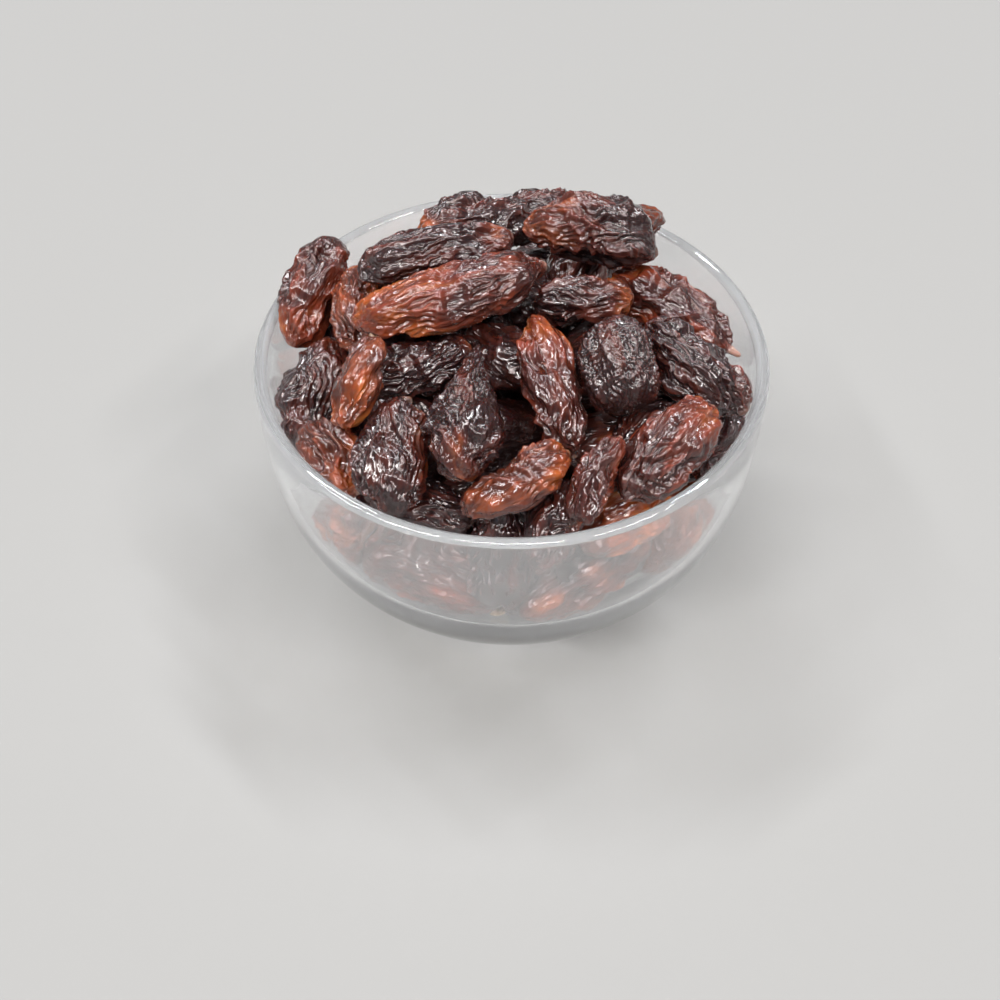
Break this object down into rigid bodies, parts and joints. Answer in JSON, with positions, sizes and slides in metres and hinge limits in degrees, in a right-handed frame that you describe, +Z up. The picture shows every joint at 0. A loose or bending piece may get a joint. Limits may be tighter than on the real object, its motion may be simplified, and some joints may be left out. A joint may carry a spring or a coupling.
{
  "type": "bowl of thompson raisins",
  "caption": "Small round clear glass bowl heaped with large wrinkled dried raisins that stand proud of its rounded rim.",
  "frame": {"origin": "middle of the bowl's flat base, on the surface it stands on", "axes": "+Z up out of the bowl's mouth; -Y towards the viewer of the reference picture, +X to the viewer's right"},
  "size_m": [0.07, 0.07, 0.055],
  "materials": {
    "clear_glass": "gloss",
    "raisin_dark": "satin",
    "raisin_red": "satin",
    "raisin_amber": "satin",
    "dry_stem": "matte"
  },
  "bodies": {
    "root": {"bowl": "clear_glass", "raisin_top_01": "raisin_red", "raisin_top_02": "raisin_dark", "raisin_top_03": "raisin_dark", "raisin_top_04": "raisin_dark", "raisin_top_05": "raisin_dark", "raisin_top_06": "raisin_amber", "raisin_top_07": "raisin_dark", "raisin_top_08": "raisin_red", "raisin_top_09": "raisin_dark", "raisin_top_10": "raisin_amber", "raisin_top_11": "raisin_amber", "raisin_top_12": "raisin_dark", "raisin_top_13": "raisin_dark", "raisin_top_14": "raisin_red", "raisin_top_15": "raisin_dark", "raisin_top_16": "raisin_red", "raisin_top_17": "raisin_dark", "raisin_top_18": "raisin_dark", "raisin_top_19": "raisin_red", "raisin_top_20": "raisin_dark", "raisin_top_21": "raisin_amber", "raisin_top_22": "raisin_dark", "raisin_top_23": "raisin_dark", "raisin_top_24": "raisin_dark", "raisin_top_25": "raisin_amber", "raisin_top_26": "raisin_red", "raisin_top_27": "raisin_dark", "raisin_top_28": "raisin_amber", "raisin_under_01": "raisin_dark", "raisin_under_02": "raisin_dark", "raisin_under_03": "raisin_dark", "raisin_under_04": "raisin_red", "raisin_under_05": "raisin_dark", "raisin_under_06": "raisin_red", "raisin_wall_01": "raisin_dark", "raisin_wall_02": "raisin_red", "raisin_wall_03": "raisin_dark", "raisin_wall_04": "raisin_amber", "raisin_wall_05": "raisin_dark", "raisin_wall_06": "raisin_dark", "raisin_wall_07": "raisin_red", "raisin_wall_08": "raisin_dark", "raisin_wall_09": "raisin_amber", "raisin_wall_10": "raisin_dark", "raisin_wall_11": "raisin_dark", "raisin_wall_12": "raisin_red", "raisin_wall_13": "raisin_dark", "raisin_wall_14": "raisin_amber", "raisin_wall_15": "raisin_dark", "raisin_wall_16": "raisin_dark", "raisin_wall_17": "raisin_red", "raisin_wall_18": "raisin_dark", "raisin_wall_19": "raisin_amber", "raisin_wall_20": "raisin_dark", "raisin_wall_21": "raisin_dark", "raisin_wall_22": "raisin_red", "raisins_core_upper": "raisin_dark", "raisins_core_lower": "raisin_dark", "stem_bit": "dry_stem"}
  },
  "joints": []
}
